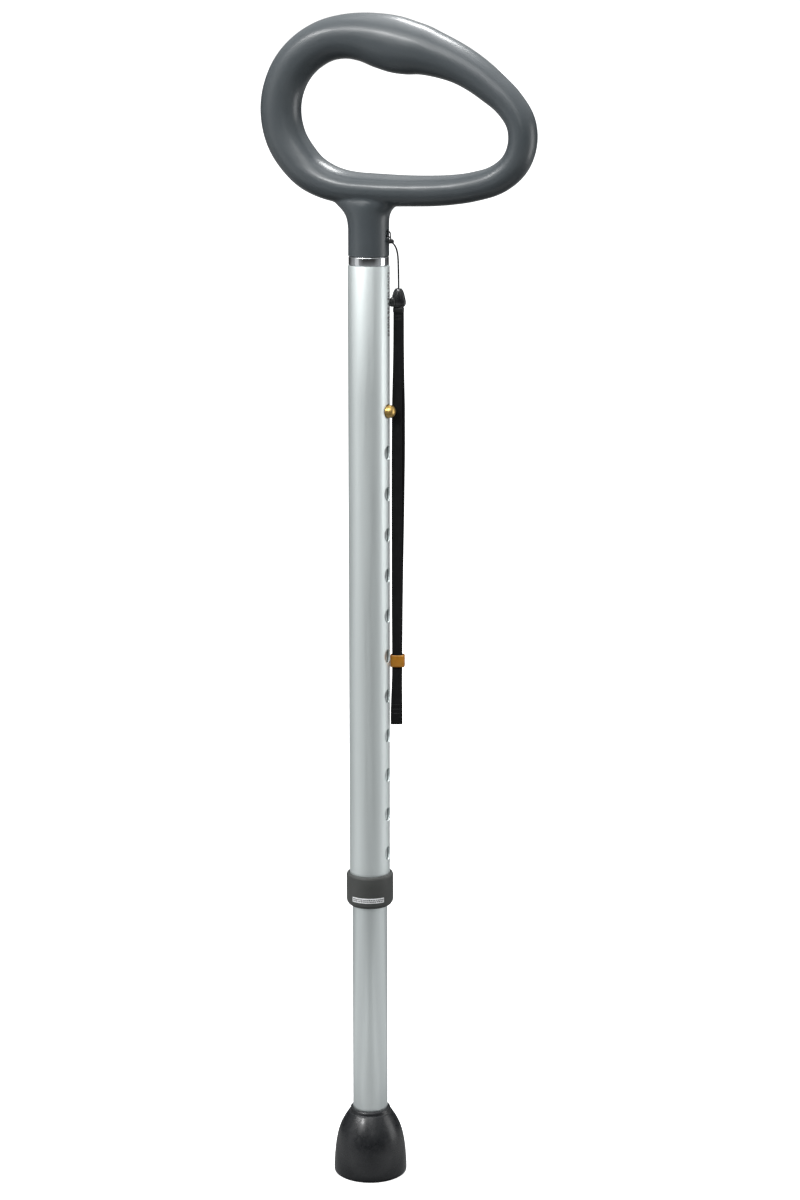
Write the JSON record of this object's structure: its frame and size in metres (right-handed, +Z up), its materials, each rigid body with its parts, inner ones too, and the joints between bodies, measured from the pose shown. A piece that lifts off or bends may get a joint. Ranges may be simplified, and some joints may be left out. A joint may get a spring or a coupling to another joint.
{
  "type": "single point cane",
  "caption": "Height-adjustable single point walking cane with a closed loop handle, telescoping tubes, a snap button, a rubber tip and a wrist strap.",
  "frame": {"origin": "centre of the rubber tip's bottom face, on the floor", "axes": "+Z up along the tubes, +X towards the handle's long nose and the row of height holes, +Y across the cane"},
  "size_m": [0.1755, 0.0466, 0.7301],
  "materials": {
    "grip_grey": "semi-gloss moulded slate grey",
    "core_aluminium": "turned",
    "ring_chrome": "mirror",
    "rivet_steel": "plain",
    "upper_anodised": "satin silver anodised",
    "sleeve_plastic": "moulded",
    "collar_plastic": "matte dark warm grey",
    "label_paper": "blank label",
    "lower_anodised": "satin silver anodised",
    "bush_plastic": "moulded",
    "spring_steel": "plain",
    "button_brass": "polished",
    "tip_rubber": "smooth black",
    "washer_steel": "plain",
    "cord_nylon": "braided black",
    "knot_nylon": "braided black",
    "connector_plastic": "glossy black",
    "ferrule_plastic": "black",
    "strap_webbing": "woven black webbing",
    "slider_amber": "amber"
  },
  "bodies": {
    "upper": {"handle_grip": "grip_grey", "handle_spigot": "core_aluminium", "neck_ring": "ring_chrome", "handle_rivet": "rivet_steel", "upper_tube": "upper_anodised", "collet_sleeve": "sleeve_plastic"},
    "collar": {"lock_collar": "collar_plastic", "collar_label": "label_paper"},
    "lower": {"lower_tube": "lower_anodised", "guide_bush": "bush_plastic", "button_spring": "spring_steel", "rubber_tip": "tip_rubber", "tip_washer": "washer_steel"},
    "button": {"snap_button": "button_brass"},
    "strap": {"lanyard_cord": "cord_nylon", "cord_knot": "knot_nylon", "cord_connector": "connector_plastic", "strap_ferrule": "ferrule_plastic", "wrist_strap": "strap_webbing"},
    "slider": {"strap_slider": "slider_amber"}
  },
  "joints": [
    {"name": "height_adjust", "type": "slide", "parent": "lower", "child": "upper", "axis": [0, 0, 1], "range_m": [0, 0.2794], "deforming": ["snap_button"]},
    {"name": "button_press", "type": "slide", "parent": "lower", "child": "button", "axis": [-1, 0, 0], "range_m": [0, 0.0059], "stiffness_N_per_m": 600, "springref_m": -0.002, "deforming": ["button_spring"]},
    {"name": "collar_twist", "type": "hinge", "parent": "upper", "child": "collar", "pos_m": [0, 0, 0.19], "axis": [0, 0, 1], "range_deg": [0, 90]},
    {"name": "strap_swing", "type": "hinge", "parent": "upper", "child": "strap", "pos_m": [0.0144, 0, 0.596], "axis": [0, -1, 0], "range_deg": [0, 85], "deforming": ["lanyard_cord"]},
    {"name": "slider_slide", "type": "slide", "parent": "strap", "child": "slider", "axis": [0, 0, 1], "range_m": [-0.034, 0.205]}
  ]
}
